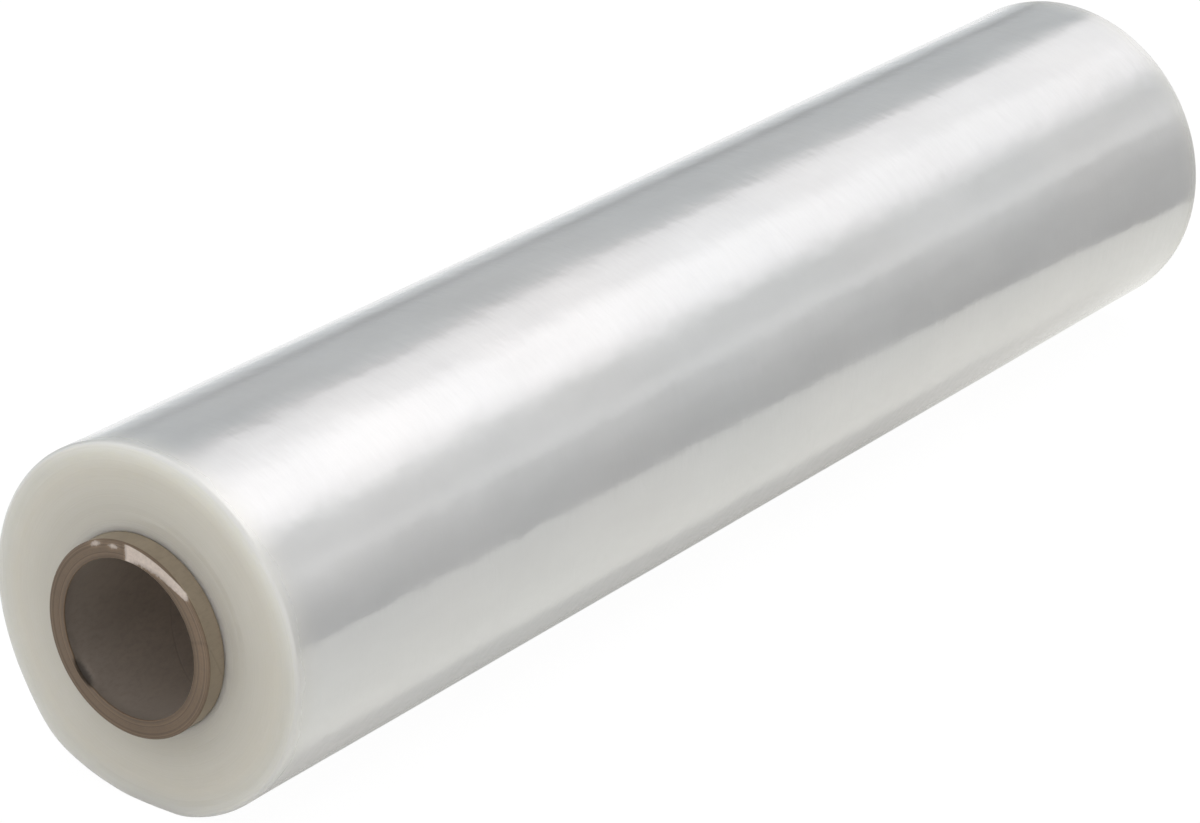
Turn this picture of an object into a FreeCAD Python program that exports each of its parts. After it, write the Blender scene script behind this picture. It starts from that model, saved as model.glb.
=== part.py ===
"""Roll of clear stretch film wound on a spiral paperboard core.

Millimetres. The roll lies along X, +Z is up, and the origin is on the surface that it lies on,
under the middle of the roll. The turns of film are one solid, and the core is another.
"""

import FreeCAD, Part
import math
import os

# Driving dimensions of the wound film
film_width = 500.0
film_diameter = 114.0
film_edge_round = 1.4

# The flat spot that the soft roll takes from its own weight where it lies
flat_width = 16.0
flat_blend_radius = 25.0

# Bands of turns that stand a little in or out where the film wandered as it was wound
band_count = 12
band_relief = 0.45
band_least_depth = 0.06
band_phase = 2.4
outer_band_width = 3.2

# Paperboard core
core_bore_diameter = 50.0
core_wall = 5.0
core_stub = 6.0
core_rim_round = 0.8
core_mouth_chamfer = 0.4
winding_clearance = 0.05

# Nick in the inner ply at the core's near mouth
nick_angle_deg = 131.0
nick_arc_radius = 10.0
nick_depth = 0.8
nick_length = 1.6

# How far a cutting tool runs past the face that it cuts, and how near counts as the same place
tool_overrun = 2.0
same_place = 1e-6

# Worked out from the dimensions above
film_radius = film_diameter / 2
flat_half = flat_width / 2
blend_offset = film_radius - flat_blend_radius
axis_height = flat_blend_radius + math.sqrt(blend_offset**2 - flat_half**2)
core_bore_radius = core_bore_diameter / 2
core_radius = core_bore_radius + core_wall
core_length = film_width + 2 * core_stub
wound_radius = core_radius + winding_clearance
along_x = FreeCAD.Vector(1, 0, 0)
roll_axis = FreeCAD.Vector(0, 0, axis_height)


def across(x, y, z):
    """A point of a cross-section at x."""
    return FreeCAD.Vector(x, y, z)


def on_circle(x, centre, radius, angle):
    """A point at an angle from straight down, turning towards +Y, in the cross-section at x."""
    return across(x, centre[0] + radius * math.sin(angle), centre[1] - radius * math.cos(angle))


def arc(x, centre, radius, start, end):
    """An arc in the cross-section at x, between two angles from straight down."""
    ends = [on_circle(x, centre, radius, a) for a in (start, (start + end) / 2, end)]
    return Part.Arc(*ends).toShape()


def tube(radius, bore_radius, length):
    """A plain tube about the roll's axis, centred on the origin's X."""
    start = roll_axis - along_x * (length / 2)
    outside = Part.makeCylinder(radius, length, start, along_x)
    inside = Part.makeCylinder(
        bore_radius, length + 2 * tool_overrun, start - along_x * tool_overrun, along_x
    )
    return outside.cut(inside)


def end_edges(shape, end_x):
    """The edges that lie in the planes of the two ends."""
    return [e for e in shape.Edges if abs(abs(e.CenterOfMass.x) - end_x) < same_place]


def film_outline(x):
    """The roll's outline: a circle that eases through two blend arcs into the flat spot."""
    lean = math.asin(flat_half / blend_offset)
    centre = (0, axis_height)
    right, left = (flat_half, flat_blend_radius), (-flat_half, flat_blend_radius)
    edges = [
        arc(x, centre, film_radius, lean, 2 * math.pi - lean),
        arc(x, left, flat_blend_radius, -lean, 0),
        Part.makeLine(across(x, -flat_half, 0), across(x, flat_half, 0)),
        arc(x, right, flat_blend_radius, 0, lean),
    ]
    return Part.Wire(Part.__sortEdges__(edges))


def film_body():
    """The wound film before its ends get their bands: outline, rounded end edges and core hole."""
    end_x = film_width / 2
    body = Part.Face(film_outline(-end_x)).extrude(along_x * film_width)
    rounded = body.makeFillet(film_edge_round, end_edges(body, end_x))
    hole = Part.makeCylinder(
        wound_radius, film_width + 2 * tool_overrun, roll_axis - along_x * (end_x + tool_overrun), along_x
    )
    return rounded.cut(hole)


def band_depth(band):
    """How far a band of turns sits behind the end's outermost turns."""
    swing = 0.5 + 0.5 * math.sin(band_phase * band)
    return band_least_depth + (band_relief - band_least_depth) * swing


def band_cutter(side):
    """A ring that takes the bands' relief out of one end; side is -1 at the near end and 1 at the far."""
    end_x = side * film_width / 2
    inner, outer = wound_radius - winding_clearance / 2, axis_height - outer_band_width
    step = (outer - inner) / band_count
    profile = [(end_x + side * tool_overrun, inner)]
    for band in range(band_count):
        x = end_x - side * band_depth(band)
        profile += [(x, inner + band * step), (x, inner + (band + 1) * step)]
    profile.append((end_x + side * tool_overrun, outer))
    points = [FreeCAD.Vector(x, 0, axis_height + r) for x, r in profile]
    ring = Part.Face(Part.makePolygon(points + points[:1]))
    return ring.revolve(roll_axis, along_x, 360)


def film_roll():
    """All the turns of film as one solid."""
    body = film_body()
    for side in (-1, 1):
        body = body.cut(band_cutter(side))
    return body


def mouth_nick():
    """The crescent lost from the inner ply at the near mouth, seen past the core's lower far side."""
    angle = math.radians(nick_angle_deg)
    reach = core_bore_radius + nick_depth - nick_arc_radius
    centre = roll_axis + FreeCAD.Vector(0, reach * math.sin(angle), reach * math.cos(angle))
    start = centre - along_x * (core_length / 2 + tool_overrun)
    return Part.makeCylinder(nick_arc_radius, nick_length + tool_overrun, start, along_x)


def core_tube():
    """The paperboard tube, a little longer than the film, with its rims worn round outside."""
    plain = tube(core_radius, core_bore_radius, core_length)
    middle_ply = (core_bore_radius + core_radius) / 2
    outer_rims = [e for e in end_edges(plain, core_length / 2) if e.Curve.Radius > middle_ply]
    worn = plain.makeFillet(core_rim_round, outer_rims)
    mouths = [e for e in end_edges(worn, core_length / 2) if e.Curve.Radius < middle_ply]
    return worn.makeChamfer(core_mouth_chamfer, mouths).cut(mouth_nick())


nodes = {
    "film_roll": film_roll(),
    "core_tube": core_tube(),
}

os.makedirs("parts", exist_ok=True)
for name, shape in nodes.items():
    shape.exportStep("parts/" + name + ".step")
    box = shape.optimalBoundingBox(False)
    print(name, "solids", len(shape.Solids), "valid", shape.isValid())
    print("  volume in cm3", round(shape.Volume / 1000, 1))
    print("  size", round(box.XLength, 2), round(box.YLength, 2), round(box.ZLength, 2))
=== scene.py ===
"""Looks of the stretch wrap roll: the wound film, its paperboard core, the studio and the camera.

Metres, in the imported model's frame: the roll lies along X, its near end looks to -X, and +Z is up.
"""

import math

import bmesh
import bpy
import numpy as np
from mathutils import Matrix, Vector


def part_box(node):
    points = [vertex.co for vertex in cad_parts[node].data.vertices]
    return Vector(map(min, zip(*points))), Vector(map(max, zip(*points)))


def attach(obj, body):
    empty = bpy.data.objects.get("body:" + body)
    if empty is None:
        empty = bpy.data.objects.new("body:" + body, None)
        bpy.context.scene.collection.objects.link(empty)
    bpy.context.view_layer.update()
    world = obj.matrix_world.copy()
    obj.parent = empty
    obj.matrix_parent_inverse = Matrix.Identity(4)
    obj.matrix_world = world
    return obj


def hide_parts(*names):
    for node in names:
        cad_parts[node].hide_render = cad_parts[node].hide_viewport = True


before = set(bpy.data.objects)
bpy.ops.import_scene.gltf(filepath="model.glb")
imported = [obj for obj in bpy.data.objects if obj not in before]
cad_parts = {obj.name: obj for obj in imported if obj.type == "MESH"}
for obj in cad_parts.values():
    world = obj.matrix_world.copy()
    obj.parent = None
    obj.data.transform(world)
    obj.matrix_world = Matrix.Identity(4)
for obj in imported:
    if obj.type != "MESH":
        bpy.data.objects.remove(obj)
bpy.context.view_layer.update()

MM = 0.001
TURN = 2 * math.pi

# Wound film, its outline and its flat spot
film_radius = 57 * MM
film_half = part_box("film_roll")[1].x
axis_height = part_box("film_roll")[1].z - film_radius
flat_half = 8 * MM
flat_blend_radius = 25 * MM
shoulder_round = 1.2 * MM
milky_edge = 12 * MM
milky_edge_share = 0.45
flattening_power = 1.6

# Paperboard core
core_radius = 30 * MM
bore_radius = 25 * MM
core_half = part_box("core_tube")[1].x
rim_round = 0.6 * MM
mouth_round = 0.5 * MM
rim_flare = 0.2 * MM
mouth_swell = 0.6 * MM
flare_length = 5 * MM
near_stub_extra = 0.65 * MM
winding_clearance = 0.05 * MM

# Unevenness of the winding
turn_group_pitch = 0.9 * MM
turn_relief_depth = 0.10 * MM
wander_depth = 0.28 * MM
wander_pitch = 4.0 * MM
gauge_band_depth = 0.05 * MM
gauge_band_pitch = 9 * MM
slack_depth = 0.05 * MM
slack_pitch = 70 * MM
calm_end = 12 * MM
level_outer_turns = 2 * MM
ply_count = 8
ply_relief = 0.12 * MM

# Where the loose end of the film lies, in turns from straight down past the camera's side
tail_turn = 0.79

# Where the near end is out of round: angle from straight down towards +Y and half width, both in
# degrees, and rise
out_of_round = [(13, 8, -0.6 * MM), (40, 12, 1.6 * MM), (72, 18, -0.4 * MM)]
out_of_round_length = 110 * MM

# Points of the meshes
film_around = 288
film_end_rings = 88
film_shoulder_rings = 10
film_side_rings = 120
core_around = 288
core_wall_rings = 48
core_rim_rings = 34

# Marks on the near rim, at angles from the top towards the camera's side: a ragged nick in the inner ply,
# painted darker as shade in its recess, and a painted highlight in a pale fibre colour on a slightly
# bevelled outer edge, one long and two small
nick_angle = math.radians(-131)
nick_half_angle = math.radians(13)
nick_depth = 1.4 * MM
nick_length = 4.0 * MM
nick_reach = 1.3 * MM
nick_recess = 0.5 * MM
long_highlight = math.radians(54)
long_highlight_inward = 4.3 * MM
long_highlight_edge = 29.9 * MM
long_highlight_arch = 0.6 * MM
long_highlight_spread = 1.0 * MM
highlight_soft_width = 2.5 * MM
highlight_inner_fade = 0.3 * MM
highlight_outer_fade = 0.4 * MM
highlight_depth = 1.2 * MM
faint_highlight_inside = 2 * MM
small_highlights = [(math.radians(-22), 29.1 * MM), (math.radians(-8.5), 28.3 * MM)]
small_highlight_half_angle = math.radians(5)
small_highlight_half_width = 0.9 * MM
crush_bevel = 0.4 * MM

# Camera, at the photograph's place
image_width_px = 1200
focal_length_px = 4493.7
sensor_width_mm = 36
camera_place = Vector((-1.0949, -0.7861, 0.6106))
camera_down_deg = 23.006
camera_turn_deg = 36.506

random = np.random.default_rng(5)


def uneven(places, pitch, depth):
    """A smooth random depth at each place, between 0 and depth, that changes about once in a pitch."""
    low = places.min() - 2 * pitch
    knots = np.arange(low, places.max() + 2 * pitch, pitch)
    values = random.uniform(0, depth, len(knots))
    fine = np.linspace(low, knots[-1], 40 * len(knots))
    eased = (1 - np.cos(math.pi * ((fine - low) / pitch % 1))) / 2
    index = np.minimum(((fine - low) / pitch).astype(int), len(knots) - 2)
    curve = values[index] * (1 - eased) + values[index + 1] * eased
    return np.interp(places, fine, curve)


def from_top(angle):
    """Angles from straight down, as angles from the top towards the camera's side, from -pi to pi."""
    return angle % TURN - math.pi


def outline_radius(angle):
    """Distance from the axis to the roll's outline, at angles from straight down."""
    lean = np.abs((angle + math.pi) % TURN - math.pi)
    flat_end = math.atan2(flat_half, axis_height)
    blend_end = math.asin(flat_half / (film_radius - flat_blend_radius))
    rise = axis_height - flat_blend_radius
    along = flat_half * np.sin(lean) + rise * np.cos(lean)
    inside = along**2 - flat_half**2 - rise**2 + flat_blend_radius**2
    blend = along + np.sqrt(np.maximum(inside, 0))
    flat = axis_height / np.cos(np.minimum(lean, flat_end))
    return np.where(lean < flat_end, flat, np.where(lean < blend_end, blend, film_radius))


def between_ends(half, first_step, count):
    """Stations from -half to half that stand closest together near the two ends."""
    from_end = np.concatenate([[0], np.geomspace(first_step, half, count // 2)])
    return np.concatenate([from_end - half, half - from_end[-2::-1]])


def ring_mesh(name, places, shares):
    """A closed ring of quads from places[station, step around], whose last station joins the first.

    shares are values at each station that the materials read, by name.
    """
    stations, around, _ = places.shape
    here = np.arange(stations * around).reshape(stations, around)
    beside = np.roll(here, -1, axis=1)
    quads = np.stack([here, beside, np.roll(beside, -1, axis=0), np.roll(here, -1, axis=0)], axis=-1)
    mesh = bpy.data.meshes.new(name)
    mesh.from_pydata(places.reshape(-1, 3).tolist(), [], quads.reshape(-1, 4).tolist())
    shell = bmesh.new()
    shell.from_mesh(mesh)
    bmesh.ops.recalc_face_normals(shell, faces=shell.faces)
    shell.to_mesh(mesh)
    shell.free()
    mesh.shade_smooth()
    for share, values in shares.items():
        spread = np.broadcast_to(np.reshape(values, (stations, -1)), (stations, around))
        mesh.attributes.new(share, "FLOAT", "POINT").data.foreach_set(
            "value", np.ascontiguousarray(spread, dtype=np.float32).ravel()
        )
    made = bpy.data.objects.new(name, mesh)
    bpy.context.scene.collection.objects.link(made)
    return made


def film_end(side):
    """Turn radius and x at each ring of one end, from the core to its shoulder."""
    inner = core_radius + winding_clearance
    straight = film_radius - shoulder_round
    flat_turns = np.linspace(inner, straight, film_end_rings)
    relief = uneven(flat_turns, turn_group_pitch, turn_relief_depth)
    relief += uneven(flat_turns, wander_pitch, wander_depth)
    fade = np.clip((straight - flat_turns) / level_outer_turns, 0, 1)
    bend = np.linspace(0, math.pi / 2, film_shoulder_rings + 1)[1:]
    turns = np.concatenate([flat_turns, straight + shoulder_round * np.sin(bend)])
    depth = np.concatenate([relief * fade, shoulder_round * (1 - np.cos(bend))])
    return turns, side * (film_half - depth)


def end_share(turns, x):
    """1 on the cut edges of the turns, fading along the side as the film's milky edge clears."""
    on_end = np.clip((film_radius - turns) / shoulder_round, 0, 1)
    inward = np.clip((film_half - shoulder_round - np.abs(x)) / milky_edge, 0, 1)
    return np.maximum(on_end**1.5, milky_edge_share * (1 - inward) ** 2)


def film_squeeze(x, deep):
    """How far the turns are pressed in at each station and step around, and which steps these are."""
    angle = np.arange(film_around) * TURN / film_around
    squeeze = (film_radius - outline_radius(angle))[None, :] * deep**flattening_power
    near = np.exp(-(((x + film_half) / out_of_round_length) ** 2))[:, None] * deep**flattening_power
    for centre, half_width, rise in out_of_round:
        bulge = np.exp(-(((np.degrees(angle) - centre) / half_width) ** 2))
        squeeze = squeeze - rise * near * bulge
    return squeeze, angle


def film_piece():
    """All the turns of film, with uneven ends, rounded shoulders and a slightly slack surface."""
    near_turns, near_x = film_end(-1)
    far_turns, far_x = film_end(1)
    side_x = between_ends(far_x[-1], 0.15 * MM, film_side_rings)[1:-1]
    side_turns = np.full(len(side_x), film_radius)
    hole_x = np.array([film_half / 2, -film_half / 2])
    hole_turns = np.full(2, core_radius + winding_clearance)
    turns = np.concatenate([near_turns, side_turns, far_turns[::-1], hole_turns])
    x = np.concatenate([near_x, side_x, far_x[::-1], hole_x])
    share = end_share(turns, x)

    deep = np.clip((turns - core_radius) / (film_radius - core_radius), 0, 1)[:, None]
    squeeze, angle = film_squeeze(x, deep)
    gauge = uneven(x, gauge_band_pitch, gauge_band_depth)[:, None] * deep
    slack = slack_depth * deep * np.sin(3 * angle + 2.5 * np.sin(x[:, None] / slack_pitch)) ** 2
    calm = np.clip((film_half - np.abs(x)) / calm_end, 0, 1)[:, None]
    reach = turns[:, None] - squeeze - (gauge + slack) * calm
    places = np.empty((len(x), film_around, 3))
    places[..., 0] = x[:, None]
    places[..., 1] = reach * np.sin(angle)
    places[..., 2] = axis_height - reach * np.cos(angle)
    return ring_mesh("wound_film", places, {"end_share": share, "turn_mm": turns / MM})


def core_profile():
    """Radius, x and share of rim finish round the core's wall.

    They run from the near mouth along the outside to the far mouth, and back through the bore.
    """
    ply = (core_radius - bore_radius) / ply_count
    bend = np.linspace(0, math.pi / 2, 9)
    face = np.linspace(bore_radius + mouth_round, core_radius - rim_round, core_rim_rings)
    plies = uneven(face, ply, ply_relief)
    mouth_r = bore_radius + mouth_round * (1 - np.cos(bend[:-1]))
    mouth_x = mouth_round * (1 - np.sin(bend[:-1]))
    shoulder_r = core_radius - rim_round + rim_round * np.sin(bend[1:])
    shoulder_x = rim_round * (1 - np.cos(bend[1:]))
    end_r = np.concatenate([mouth_r, face, shoulder_r])
    end_depth = np.concatenate([mouth_x, plies, shoulder_x])
    on_rim = np.ones(len(end_r))
    long_x = between_ends(core_half - rim_round, 0.2 * MM, core_wall_rings)[1:-1]
    outside, bore = np.full(len(long_x), core_radius), np.full(len(long_x), bore_radius)
    radius = np.concatenate([end_r, outside, end_r[::-1], bore])
    x = np.concatenate([end_depth - core_half, long_x, core_half - end_depth[::-1], long_x[::-1]])
    share = np.concatenate([on_rim, outside * 0, on_rim, bore * 0])
    return radius, x, share


def nick_share(radius, x, angle):
    """1 in the middle of the nick, at each station and step around."""
    from_rim = np.clip(1 - (x + core_half) / nick_length, 0, 1)
    from_mouth = np.clip(1 - (radius - bore_radius) / nick_reach, 0, 1)
    across = np.clip(1 - ((from_top(angle) - nick_angle) / nick_half_angle) ** 2, 0, 1)
    return (from_rim * from_mouth)[:, None] * across[None, :]


def crush_and_highlight_share(radius, x, angle):
    """1 where the near rim's painted highlight and its bevel lie, at each station and step around.

    The long highlight lies between an inner and an outer edge, and along it goes from 0 to 1.
    """
    along = from_top(angle)[None, :] / long_highlight
    r = radius[:, None]
    within = np.clip(along, 0, 1)
    above = r - bore_radius - long_highlight_inward * within**2
    outer_edge = long_highlight_edge - long_highlight_arch * np.sin(math.pi * within) + long_highlight_spread * along**2
    below = outer_edge - r
    ragged_end = 0.5 * np.clip(1 - 6 * along, 0, 1) + 0.4 * np.clip(4 * along - 2.2, 0, 1)
    wide = np.clip(above / highlight_soft_width + 0.35 + ragged_end, 0, 1)
    wide = wide * np.clip(above / highlight_inner_fade + 1, 0, 1) * np.clip(below / highlight_outer_fade, 0, 1)
    highlight = wide * np.clip(along * 18 + 0.3, 0, 1) * np.clip((1 - along) * 9, 0, 1)
    faint_highlight = 0.2 * np.exp(-((1.5 * along - 2.1) ** 2)) * (r > bore_radius + faint_highlight_inside)
    highlight = np.maximum(highlight, faint_highlight)
    for angle_at, radius_at in small_highlights:
        far = ((from_top(angle)[None, :] - angle_at) / small_highlight_half_angle) ** 2
        far = far + ((r - radius_at) / small_highlight_half_width) ** 2
        highlight = np.maximum(highlight, 0.75 * np.exp(-far))
    return highlight * np.clip(1 - (x + core_half) / highlight_depth, 0, 1)[:, None]


def core_piece():
    """The spiral paperboard tube, with worn rims, a nick at its near mouth, and a bevelled edge there under
    a painted highlight.
    """
    radius, x, share = core_profile()
    angle = np.arange(core_around) * TURN / core_around
    nick = nick_share(radius, x, angle)
    crush_and_highlight = crush_and_highlight_share(radius, x, angle)
    outward = (radius[:, None] - bore_radius) / (core_radius - bore_radius)
    by_mouths = np.clip(1 - (core_half - np.abs(x)) / flare_length, 0, 1)[:, None] ** 2
    flare = rim_flare * by_mouths * outward * (1.3 + 0.6 * np.cos(angle))
    reach = radius[:, None] + nick_depth * nick + flare - mouth_swell * by_mouths * (1 - outward)
    places = np.empty((len(x), core_around, 3))
    longer = near_stub_extra * np.clip(-x / core_half, 0, 1)[:, None]
    places[..., 0] = x[:, None] - longer + nick_recess * nick + crush_bevel * crush_and_highlight * outward
    places[..., 1] = reach * np.sin(angle)
    places[..., 2] = axis_height - reach * np.cos(angle)
    shares = {"rim_share": share, "ply_mm": radius / MM, "nick_share": nick, "crush_and_highlight_share": crush_and_highlight}
    return ring_mesh("spiral_core", places, shares)


class Shader:
    """A material's node tree, with short calls that make and join its nodes."""

    def __init__(self, name):
        self.material = bpy.data.materials.new(name)
        self.material.use_nodes = True
        self.tree = self.material.node_tree
        self.surface = self.tree.nodes["Principled BSDF"]
        self.object_place = self.make("ShaderNodeTexCoord", {}).outputs["Object"]

    def feed(self, node, inputs):
        """Joins or sets each named or numbered input of a node."""
        for name, value in inputs.items():
            if isinstance(value, bpy.types.NodeSocket):
                self.tree.links.new(value, node.inputs[name])
            else:
                node.inputs[name].default_value = value

    def make(self, kind, inputs, **settings):
        """A new node with its settings and inputs."""
        node = self.tree.nodes.new(kind)
        for name, value in settings.items():
            setattr(node, name, value)
        self.feed(node, inputs)
        return node

    def math(self, operation, first, second=0.0):
        """One step of arithmetic."""
        return self.make("ShaderNodeMath", {0: first, 1: second}, operation=operation).outputs[0]

    def product(self, *values):
        """Several values multiplied together."""
        result = values[0]
        for value in values[1:]:
            result = self.math("MULTIPLY", result, value)
        return result

    def attribute(self, name):
        """A value that the mesh holds at each point."""
        return self.make("ShaderNodeAttribute", {}, attribute_name=name).outputs["Fac"]

    def noise(self, stretch, detail, roughness=0.5):
        """Soft noise from 0 to 1 at the object's own coordinates, stretched on each axis."""
        place = self.make("ShaderNodeMapping", {"Vector": self.object_place, "Scale": stretch}).outputs[0]
        inputs = {"Vector": place, "Scale": 1.0, "Detail": detail, "Roughness": roughness}
        return self.make("ShaderNodeTexNoise", inputs).outputs["Fac"]

    def noise_along(self, value, scale, detail):
        """Noise that changes along one value only."""
        inputs = {"W": value, "Scale": scale, "Detail": detail}
        return self.make("ShaderNodeTexNoise", inputs, noise_dimensions="1D").outputs["Fac"]

    def remap(self, value, low, high, new_low, new_high, smooth=False):
        """A value moved from one range to another, and held inside it."""
        inputs = {"Value": value, "From Min": low, "From Max": high}
        inputs |= {"To Min": new_low, "To Max": new_high}
        kind = "SMOOTHSTEP" if smooth else "LINEAR"
        return self.make("ShaderNodeMapRange", inputs, interpolation_type=kind).outputs[0]

    def blend(self, share, first, second):
        """A colour between two colours."""
        inputs = {"Factor": share, 6: first, 7: second}
        return self.make("ShaderNodeMix", inputs, data_type="RGBA").outputs[2]

    def tone(self, colour, strength):
        """A colour made lighter or darker."""
        inputs = {0: colour, "Scale": strength}
        return self.make("ShaderNodeVectorMath", inputs, operation="SCALE").outputs[0]

    def bump(self, height, depth, below=None):
        """A relief of the given depth, on top of the one below it."""
        inputs = {"Height": height, "Distance": depth, "Strength": 1.0}
        if below is not None:
            inputs["Normal"] = below
        return self.make("ShaderNodeBump", inputs).outputs[0]

    def angle(self):
        """Turns round the roll's axis, from 0 to 1, and the place along it."""
        parts = self.make("ShaderNodeSeparateXYZ", {0: self.object_place}).outputs
        height = self.math("SUBTRACT", parts[2], axis_height)
        radians = self.math("ARCTAN2", parts[1], height)
        return self.math("ADD", self.math("DIVIDE", radians, TURN), 0.5), parts[0]


def film_material():
    """Clear film, many turns deep: silvery along the side, and milky on the cut edges of the turns."""
    shader = Shader("stretch_film")
    end = shader.attribute("end_share")
    turn = shader.attribute("turn_mm")

    # Tones and colours of the side and of the ends. On the ends, painted shade darkens the turns towards
    # the core, painted light lifts them right by it, and painted light brightens the outer turns towards
    # the top
    mottle = shader.noise((22, 55, 55), detail=4)
    cloud = shader.noise((9, 14, 14), detail=2)
    grain = shader.noise_along(turn, 2.2, detail=4)
    # Painted shade and light on the ends: darker towards the core, lighter towards the outside
    outward = shader.remap(turn, core_radius / MM, film_radius / MM, 0.86, 1.08)
    side_tone = shader.remap(mottle, 0.3, 0.7, 0.97, 1.03)
    turn_tone = shader.remap(grain, 0.3, 0.7, 0.985, 1.015)
    # Painted light close by the core
    painted_core_light = shader.remap(turn, 30, 38, 1.14, 1.0)
    # Painted light on the outer turns of the ends: lighter towards the top and the camera's side, a little
    # darker elsewhere
    _, across, height = shader.make("ShaderNodeSeparateXYZ", {0: shader.object_place}).outputs
    lit_side = shader.math("SUBTRACT", height, shader.math("MULTIPLY", across, 0.45))
    painted_top_light = shader.remap(lit_side, 0.078, 0.11, 0.965, 1.12)
    outer = shader.remap(turn, 49, 54, 0.0, 1.0)
    painted_top_light = shader.remap(outer, 0, 1, 1.0, painted_top_light)
    end_grain_and_painted_light = shader.product(turn_tone, outward, painted_core_light, painted_top_light)
    side_colour = shader.blend(cloud, (0.705, 0.725, 0.735, 1), (0.757, 0.742, 0.735, 1))
    side_colour = shader.tone(side_colour, side_tone)
    end_colour = shader.blend(cloud, (0.72, 0.695, 0.615, 1), (0.74, 0.71, 0.64, 1))
    end_colour = shader.blend(outer, end_colour, (0.725, 0.715, 0.665, 1))
    end_colour = shader.tone(end_colour, end_grain_and_painted_light)

    # Relief, from the film's loose end and broad waves down to fine pimples
    waves = shader.noise((60, 90, 90), detail=1)
    ribs = shader.noise((300, 110, 110), detail=2)
    pimples = shader.noise((200, 480, 480), detail=3)
    side_rough = shader.remap(mottle, 0.3, 0.7, 0.13, 0.21)
    turns, x = shader.angle()
    wander = shader.math("MULTIPLY", shader.noise_along(x, 7, detail=2), 0.02)
    tail = shader.math("FRACT", shader.math("ADD", turns, shader.math("ADD", wander, 1 - tail_turn)))
    tail = shader.math("MULTIPLY", tail, shader.remap(end, 0, 1, 1.0, 0.0))
    relief = shader.bump(tail, 0.12 * MM)
    relief = shader.bump(waves, 0.20 * MM, relief)
    relief = shader.bump(ribs, 0.12 * MM, relief)
    relief = shader.bump(pimples, 0.02 * MM, relief)
    relief = shader.bump(shader.math("MULTIPLY", grain, end), 0.05 * MM, relief)

    shader.feed(shader.surface, {
        "Base Color": shader.blend(end, side_colour, end_colour),
        "Metallic": shader.remap(end, 0, 1, 0.42, 0.04),
        "Roughness": shader.math("ADD", shader.math("MULTIPLY", end, 0.30), side_rough),
        "IOR": 1.5,
        "Subsurface Weight": shader.remap(end, 0, 1, 0.25, 1.0),
        "Subsurface Radius": (1.0, 1.0, 0.9),
        "Subsurface Scale": 9 * MM,
        "Coat Weight": 0.5,
        "Coat Roughness": 0.06,
        "Normal": relief,
    })
    return shader.material


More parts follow.
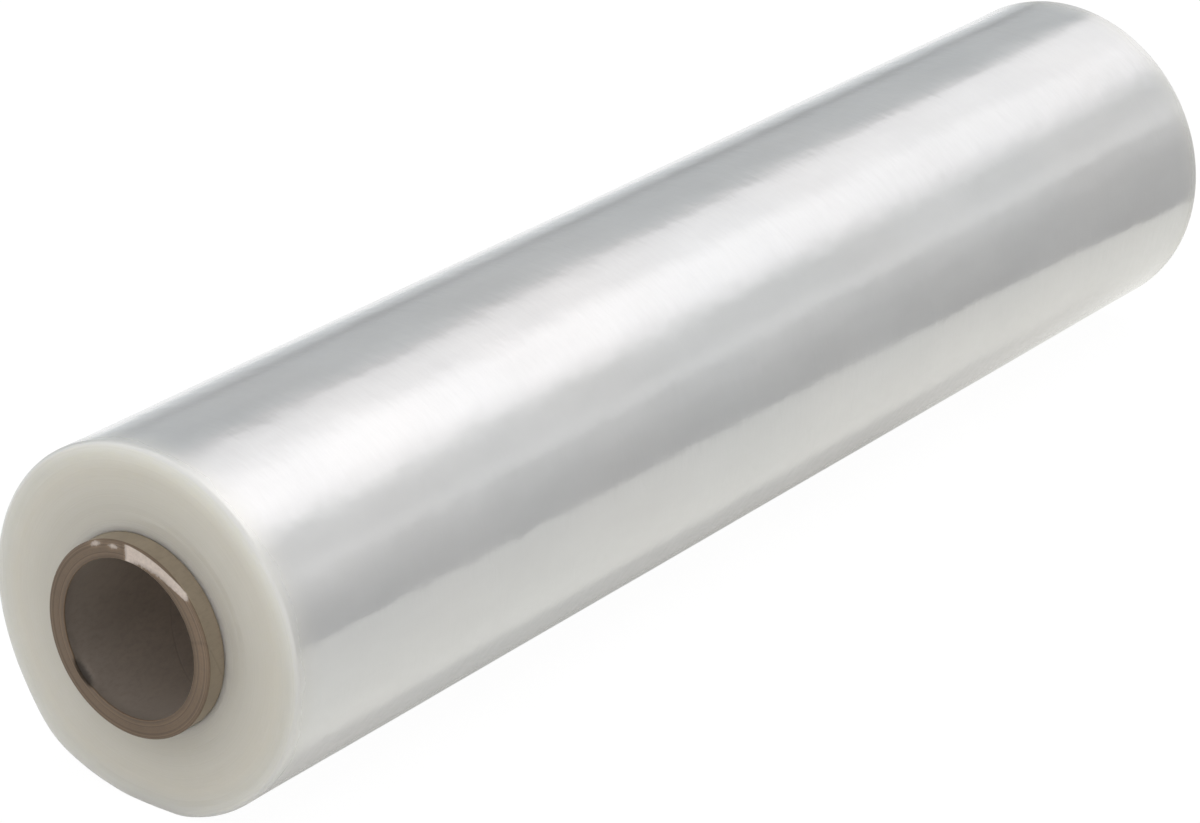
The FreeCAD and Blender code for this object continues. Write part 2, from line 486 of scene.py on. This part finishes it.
def paperboard_material():
    """Brown paperboard: fibres, spiral seams, plies on the rims, a painted highlight on the near rim,
    painted shade in the nick and painted light deep in the bore.
    """
    shader = Shader("paperboard")
    rim = shader.attribute("rim_share")
    ply = shader.attribute("ply_mm")
    nick = shader.attribute("nick_share")
    crush_and_highlight = shader.attribute("crush_and_highlight_share")
    turns, x = shader.angle()

    # Patterns of the board
    fibre = shader.noise((420, 900, 900), detail=5, roughness=0.65)
    stain = shader.noise((30, 60, 60), detail=3)
    plies = shader.noise_along(ply, 1.7, detail=2)
    strip = shader.math("ADD", shader.math("DIVIDE", x, 92 * MM), turns)
    seam = shader.math("ABSOLUTE", shader.math("SUBTRACT", shader.math("FRACT", strip), 0.5))
    seam = shader.remap(seam, 0.0, 0.006, 1.0, 0.0, smooth=True)

    # Tones of the board: darker along the seams, painted shade in the nick, painted light deep in the bore,
    # and lighter round the near rim's painted highlight
    tone_spread = shader.remap(fibre, 0.25, 0.75, 0.86, 1.14)
    stain_tone = shader.remap(stain, 0.3, 0.7, 0.93, 1.07)
    seam_tone = shader.remap(seam, 0, 1, 1.0, 0.88)
    rim_tone = shader.remap(rim, 0, 1, 1.0, 0.55)
    # Painted light inside the tube, where the bore lies in shade: 1.1 at the rims, rising to 2.1 from 50 mm
    # in
    from_middle = shader.math("ABSOLUTE", x)
    painted_bore_light = shader.remap(from_middle, core_half - 50 * MM, core_half, 2.1, 1.1)
    tone = shader.product(tone_spread, stain_tone, seam_tone, rim_tone, painted_bore_light)
    layers = shader.math("MULTIPLY", shader.math("SUBTRACT", plies, 0.5), rim)
    tone = shader.math("ADD", tone, shader.math("MULTIPLY", layers, 0.8))
    # Painted shade in the nick's recess: the board darkest in its middle, ragged at its edge
    nick_shade_spread = shader.math("ADD", nick, shader.remap(fibre, 0.3, 0.7, -0.12, 0.12))
    nick_painted_shade = shader.remap(nick_shade_spread, 0.0, 0.6, 1.0, 0.3, smooth=True)
    # Painted highlight: the board a little lighter round the near rim's highlight
    highlight_halo_tone = shader.remap(crush_and_highlight, 0, 0.25, 1.0, 1.35)
    tone = shader.product(tone, nick_painted_shade, highlight_halo_tone)
    outside = shader.remap(ply, 26, 29, 0.0, 1.0)
    wall = shader.blend(outside, (0.24, 0.203, 0.173, 1), (0.255, 0.208, 0.15, 1))
    board = shader.blend(rim, wall, (0.268, 0.185, 0.119, 1))

    # Painted highlight on the near rim, in a pale fibre colour
    ragged_highlight = shader.math("ADD", crush_and_highlight, shader.remap(fibre, 0.3, 0.7, -0.22, 0.12))
    highlight_mask = shader.remap(ragged_highlight, 0.25, 0.6, 0.0, 1.0, smooth=True)
    highlight_tone = shader.product(tone_spread, shader.remap(crush_and_highlight, 0.35, 1.0, 0.6, 1.1))
    highlight_colour = shader.blend(stain, (0.62, 0.53, 0.465, 1), (0.68, 0.58, 0.51, 1))
    highlight_colour = shader.tone(highlight_colour, highlight_tone)

    relief = shader.bump(fibre, 0.05 * MM)
    relief = shader.bump(seam, -0.05 * MM, relief)
    relief = shader.bump(shader.math("MULTIPLY", plies, rim), 0.15 * MM, relief)
    shader.feed(shader.surface, {
        "Base Color": shader.blend(highlight_mask, shader.tone(board, tone), highlight_colour),
        "Roughness": shader.remap(fibre, 0.3, 0.7, 0.42, 0.62),
        "Specular IOR Level": 0.4,
        "Coat Weight": 0.15,
        "Coat Roughness": 0.3,
        "Normal": relief,
    })
    return shader.material


def glow_material():
    """The cards' own light, in the colour that each point of a card holds."""
    shader = Shader("card_glow")
    colour = shader.make("ShaderNodeAttribute", {}, attribute_name="glow").outputs["Color"]
    glow = shader.make("ShaderNodeEmission", {"Color": colour, "Strength": 1.0})
    shader.tree.links.new(glow.outputs[0], shader.tree.nodes["Material Output"].inputs["Surface"])
    return shader.material


def reflection_card(name, near_foot, far_foot, rise_way, near_stops, far_stops, tint, material):
    """A grey studio card that only shows in reflections, with a near edge and a far edge.

    Each edge starts at its foot, and has stops: how far the edge has risen, and the card's grey there.
    """
    near_foot, far_foot, rise_way = Vector(near_foot), Vector(far_foot), Vector(rise_way)
    places, glows, faces = [], [], []
    for near, far in zip(near_stops, far_stops):
        for foot, (rise, grey) in ((near_foot, near), (far_foot, far)):
            places.append(foot + rise_way * rise)
            glows += [grey * share for share in tint] + [1]
    for row in range(0, 2 * len(near_stops) - 2, 2):
        faces.append((row, row + 1, row + 3, row + 2))
    mesh = bpy.data.meshes.new(name)
    mesh.from_pydata(places, [], faces)
    mesh.attributes.new("glow", "FLOAT_COLOR", "POINT").data.foreach_set("color", glows)
    mesh.materials.append(material)
    card = bpy.data.objects.new(name, mesh)
    bpy.context.scene.collection.objects.link(card)
    for sight in ("visible_camera", "visible_diffuse", "visible_transmission", "visible_shadow"):
        setattr(card, sight, False)


def largest(tree, values):
    """The largest of some values."""
    most = values[0]
    for value in values[1:]:
        join = tree.nodes.new("ShaderNodeMath")
        join.operation = "MAXIMUM"
        tree.links.new(most, join.inputs[0])
        tree.links.new(value, join.inputs[1])
        most = join.outputs[0]
    return most


def white_floor():
    """A wide white floor that keeps the roll's soft shadow and melts into the white background."""
    half = 8.0
    mesh = bpy.data.meshes.new("floor")
    corners = [(-half, -half, 0), (half, -half, 0), (half, half, 0), (-half, half, 0)]
    mesh.from_pydata(corners, [], [(0, 1, 2, 3)])
    floor = bpy.data.objects.new("floor", mesh)
    bpy.context.scene.collection.objects.link(floor)
    shader = Shader("floor")
    tree = shader.tree
    paint = shader.make("ShaderNodeBsdfDiffuse", {"Color": (0.86, 0.85, 0.83, 1)})
    white = shader.make("ShaderNodeEmission", {"Color": (1, 1, 1, 1), "Strength": 1.05})
    distance = shader.make("ShaderNodeVectorMath", {0: shader.object_place}, operation="LENGTH")
    distance = distance.outputs["Value"]
    along, across, _ = shader.make("ShaderNodeSeparateXYZ", {0: shader.object_place}).outputs
    beside = shader.math("ABSOLUTE", across)
    behind = shader.remap(across, -0.05, 0.05, 0.0, 1.0)
    tint = shader.blend(behind, (1, 0.99, 0.93, 1), (0.99, 1, 1, 1))
    glow = shader.make("ShaderNodeEmission", {"Color": tint, "Strength": 1.04})
    path = shader.make("ShaderNodeLightPath", {}).outputs

    # Seen directly, the floor is nearly white, with a little of the roll's shadow left
    direct = largest(tree, [path["Is Camera Ray"], path["Is Transmission Ray"]])
    shown = shader.math("MULTIPLY", direct, shader.remap(distance, 0.5, 1.6, 0.92, 1.0, smooth=True))

    # Mirrored in the roll's gloss, it is white away from the roll and in shade close beside it
    clear = shader.remap(beside, 0.040, 0.058, 0.0, 0.85, smooth=True)
    clear = shader.math("SUBTRACT", clear, shader.remap(beside, 0.07, 0.16, 0.0, 0.35))
    clear = shader.math("ADD", clear, shader.remap(across, 0.08, 0.22, 0.0, 0.40))
    under = shader.remap(along, 0.08, 0.30, 0.32, 0.95)
    under = shader.math("MULTIPLY", under, shader.remap(beside, 0.055, 0.075, 1.0, 0.0))
    clear = shader.math("MAXIMUM", clear, under)
    clear = shader.math("MAXIMUM", clear, shader.remap(distance, 0.7, 1.2, 0.0, 1.0))
    mirrored = shader.math("MULTIPLY", path["Is Glossy Ray"], shader.math("MINIMUM", clear, 1.0))

    seen = shader.make("ShaderNodeMixShader", {0: shown, 1: paint.outputs[0], 2: white.outputs[0]})
    mix = shader.make("ShaderNodeMixShader", {0: mirrored, 1: seen.outputs[0], 2: glow.outputs[0]})
    tree.links.new(mix.outputs[0], tree.nodes["Material Output"].inputs["Surface"])
    mesh.materials.append(shader.material)


def studio_world(ambient):
    """An even soft light from all round, and plain white where the background shows."""
    world = bpy.data.worlds.new("studio")
    world.use_nodes = True
    tree = world.node_tree
    fill = tree.nodes["Background"]
    fill.inputs["Color"].default_value = (0.97, 0.985, 1.0, 1)
    fill.inputs["Strength"].default_value = ambient
    white = tree.nodes.new("ShaderNodeBackground")
    white.inputs["Color"].default_value = (1, 1, 1, 1)
    white.inputs["Strength"].default_value = 1.0
    path = tree.nodes.new("ShaderNodeLightPath").outputs
    rays = ("Is Camera Ray", "Is Glossy Ray", "Is Transmission Ray")
    seen = largest(tree, [path[ray] for ray in rays])
    mix = tree.nodes.new("ShaderNodeMixShader")
    tree.links.new(seen, mix.inputs[0])
    tree.links.new(fill.outputs[0], mix.inputs[1])
    tree.links.new(white.outputs[0], mix.inputs[2])
    tree.links.new(mix.outputs[0], tree.nodes["World Output"].inputs["Surface"])
    bpy.context.scene.world = world


def soft_lamp(name, place, aim, size, brightness, colour):
    """A flat lamp that shines from its place towards its aim, with the given brightness of its face."""
    lamp = bpy.data.lights.new(name, "AREA")
    lamp.shape = "RECTANGLE"
    lamp.size, lamp.size_y = size
    lamp.energy = brightness * math.pi * size[0] * size[1]
    lamp.color = colour
    holder = bpy.data.objects.new(name, lamp)
    holder.location = place
    holder.rotation_euler = (Vector(aim) - Vector(place)).to_track_quat("-Z", "Y").to_euler()
    holder.visible_camera = False
    holder.visible_glossy = False
    bpy.context.scene.collection.objects.link(holder)


def studio():
    """The floor, the background, the lamps, and the cards that the roll's gloss mirrors."""
    white_floor()
    studio_world(ambient=0.36)
    near_end = (-film_half, 0, axis_height)
    warm = (1.0, 0.985, 0.96)
    soft_lamp("overhead", (1.2, -0.20, 1.30), (1.2, -0.20, 0), (6.4, 1.40), 0.92, (1.0, 0.997, 0.99))
    soft_lamp("front_fill", (-1.60, -0.60, 0.50), near_end, (0.8, 0.8), 0.9, warm)
    soft_lamp("left_fill", (-0.90, 0.75, 0.60), near_end, (0.5, 0.5), 1.5, warm)
    reflection_cards()


def reflection_cards():
    """The cards behind, above and in front of the roll, each from its near edge to its far edge.

    The front card goes on past the near end of the roll, where it fades to white.
    """
    glow = glow_material()
    up, forward = (0, 0, 1), (0, -1, 0)
    reflection_card(
        "back_card", (-0.5, 0.80, 0), (5.0, 0.80, 0), up,
        [(0, 0.72), (0.20, 0.46), (0.32, 0.22), (0.44, 0.34), (0.90, 0.29), (1.30, 0.41)],
        [(0, 1.00), (0.20, 0.74), (0.28, 0.28), (0.40, 0.66), (0.90, 0.64), (1.30, 0.66)],
        (0.96, 1.0, 1.02), glow,
    )
    reflection_card(
        "top_card", (0.3, 0.80, 1.30), (2.4, 0.80, 1.30), forward,
        [
            (0, 0.38), (0.16, 0.42), (0.26, 0.90), (0.46, 1.18),
            (0.96, 2.05), (1.38, 2.2), (1.62, 1.95), (1.95, 1.0),
        ],
        [
            (0, 0.60), (0.12, 0.78), (0.20, 1.34), (0.46, 1.35),
            (0.96, 1.38), (1.38, 1.32), (1.62, 1.10), (1.95, 0.80),
        ],
        (1.015, 0.99, 0.995), glow,
    )
    front_foot, front_tint = (-0.162, -0.293, 0), (1.0, 0.995, 0.985)
    front_near = [
        (0, 0.40), (0.073, 0.50), (0.155, 0.74), (0.188, 0.97),
        (0.225, 0.75), (0.289, 0.79), (0.345, 0.91), (0.420, 1.60),
    ]
    front_far = [
        (0, 0.42), (0.073, 0.50), (0.093, 0.66), (0.104, 1.00),
        (0.116, 0.90), (0.128, 0.84), (0.150, 0.80), (0.168, 1.00),
    ]
    front_white = [(rise, 1.0) for rise, _ in front_near]
    reflection_card(
        "front_card", front_foot, (0.364, -0.095, 0), up, front_near, front_far, front_tint, glow
    )
    fade_foot = (-0.556, -0.441, 0)
    reflection_card(
        "front_card_fade", fade_foot, front_foot, up, front_white, front_near, front_tint, glow
    )


def camera():
    """A long lens at the photograph's place, level, looking down along the roll."""
    lens = bpy.data.cameras.new("camera")
    lens.sensor_width = sensor_width_mm
    lens.lens = focal_length_px / image_width_px * sensor_width_mm
    lens.clip_end = 50
    holder = bpy.data.objects.new("camera", lens)
    down, turn = math.radians(camera_down_deg), math.radians(camera_turn_deg)
    ahead = Vector((math.cos(down) * math.cos(turn), math.cos(down) * math.sin(turn), -math.sin(down)))
    holder.location = camera_place
    holder.rotation_euler = ahead.to_track_quat("-Z", "Y").to_euler()
    bpy.context.scene.collection.objects.link(holder)
    bpy.context.scene.camera = holder


def dress(piece, node, material):
    """Gives a piece its material, hangs it on the root body, and hides the CAD node that it stands for."""
    piece.data.materials.append(material)
    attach(piece, "root")
    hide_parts(node)


dress(film_piece(), "film_roll", film_material())
dress(core_piece(), "core_tube", paperboard_material())
studio()
camera()
bpy.context.scene.view_settings.view_transform = "Standard"
